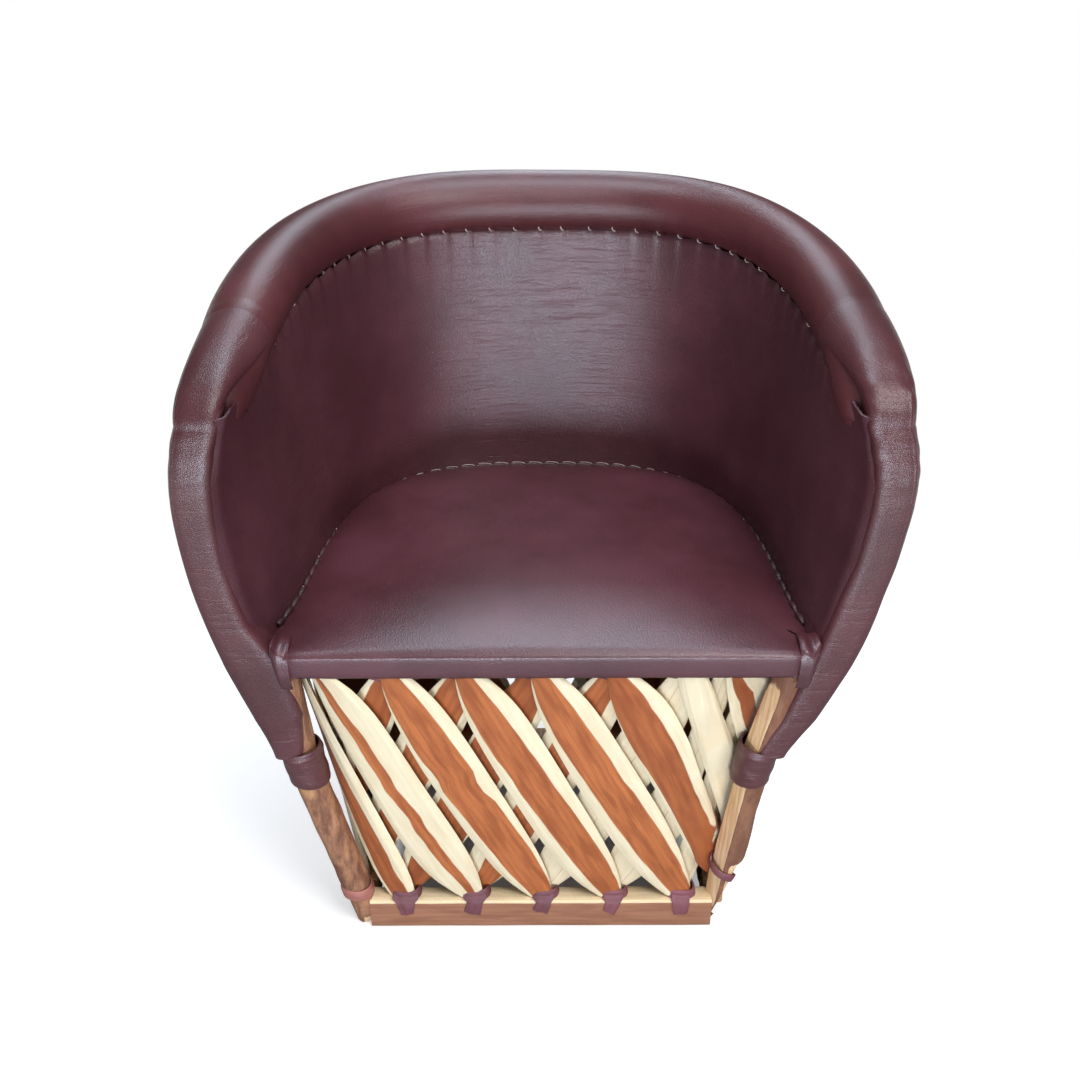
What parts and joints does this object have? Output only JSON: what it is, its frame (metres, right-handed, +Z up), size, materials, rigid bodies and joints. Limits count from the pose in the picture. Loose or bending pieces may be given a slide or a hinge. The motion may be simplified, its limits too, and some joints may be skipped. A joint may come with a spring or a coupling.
{
  "type": "equipale chair",
  "caption": "Low barrel armchair with a padded leather seat, back and rim on a drum of crossed wooden slats between a bent seat ring and a floor hoop.",
  "frame": {"origin": "on the floor, below the middle of the chair's overall outline", "axes": "+Z up, the sitter faces -Y, +X is on the sitter's left"},
  "size_m": [0.6968, 0.52, 0.799],
  "materials": {
    "leather": "satin",
    "thong_leather": "matte",
    "heartwood": "satin",
    "pale_wood": "satin",
    "pole_wood": "matte",
    "bark_wood": "matte"
  },
  "bodies": {
    "root": {"front_tie_1": "thong_leather", "front_tie_2": "thong_leather", "front_tie_3": "thong_leather", "front_tie_4": "thong_leather", "front_tie_5": "thong_leather", "base_front_rail": "pale_wood", "base_hoop": "pole_wood", "outer_slat_01": "heartwood", "inner_slat_01": "heartwood", "outer_slat_02": "heartwood", "inner_slat_02": "pale_wood", "outer_slat_03": "heartwood", "inner_slat_03": "pale_wood", "outer_slat_04": "heartwood", "inner_slat_04": "heartwood", "outer_slat_05": "heartwood", "inner_slat_05": "pale_wood", "outer_slat_06": "heartwood", "inner_slat_06": "pale_wood", "outer_slat_07": "heartwood", "inner_slat_07": "heartwood", "outer_slat_08": "heartwood", "inner_slat_08": "pale_wood", "outer_slat_09": "heartwood", "inner_slat_09": "pale_wood", "outer_slat_10": "heartwood", "inner_slat_10": "heartwood", "outer_slat_11": "heartwood", "inner_slat_11": "pale_wood", "outer_slat_12": "heartwood", "inner_slat_12": "pale_wood", "outer_slat_13": "heartwood", "inner_slat_13": "heartwood", "outer_slat_14": "heartwood", "inner_slat_14": "pale_wood", "outer_slat_15": "heartwood", "inner_slat_15": "pale_wood", "outer_slat_16": "heartwood", "inner_slat_16": "heartwood", "outer_slat_17": "heartwood", "inner_slat_17": "pale_wood", "seat_front_rail": "pole_wood", "seat_hoop": "pole_wood", "top_rod": "pole_wood", "back_upright_1": "pole_wood", "back_upright_2": "pole_wood", "back_upright_3": "pole_wood", "back_upright_4": "pole_wood", "seat_cover": "leather", "back_lining": "leather", "back_cover": "leather", "rim_roll": "leather", "front_leg_left": "bark_wood", "arm_stile_left": "pole_wood", "arm_band_left": "leather", "arm_cuff_left": "leather", "front_leg_right": "bark_wood", "arm_stile_right": "pole_wood", "arm_band_right": "leather", "arm_cuff_right": "leather"}
  },
  "joints": []
}
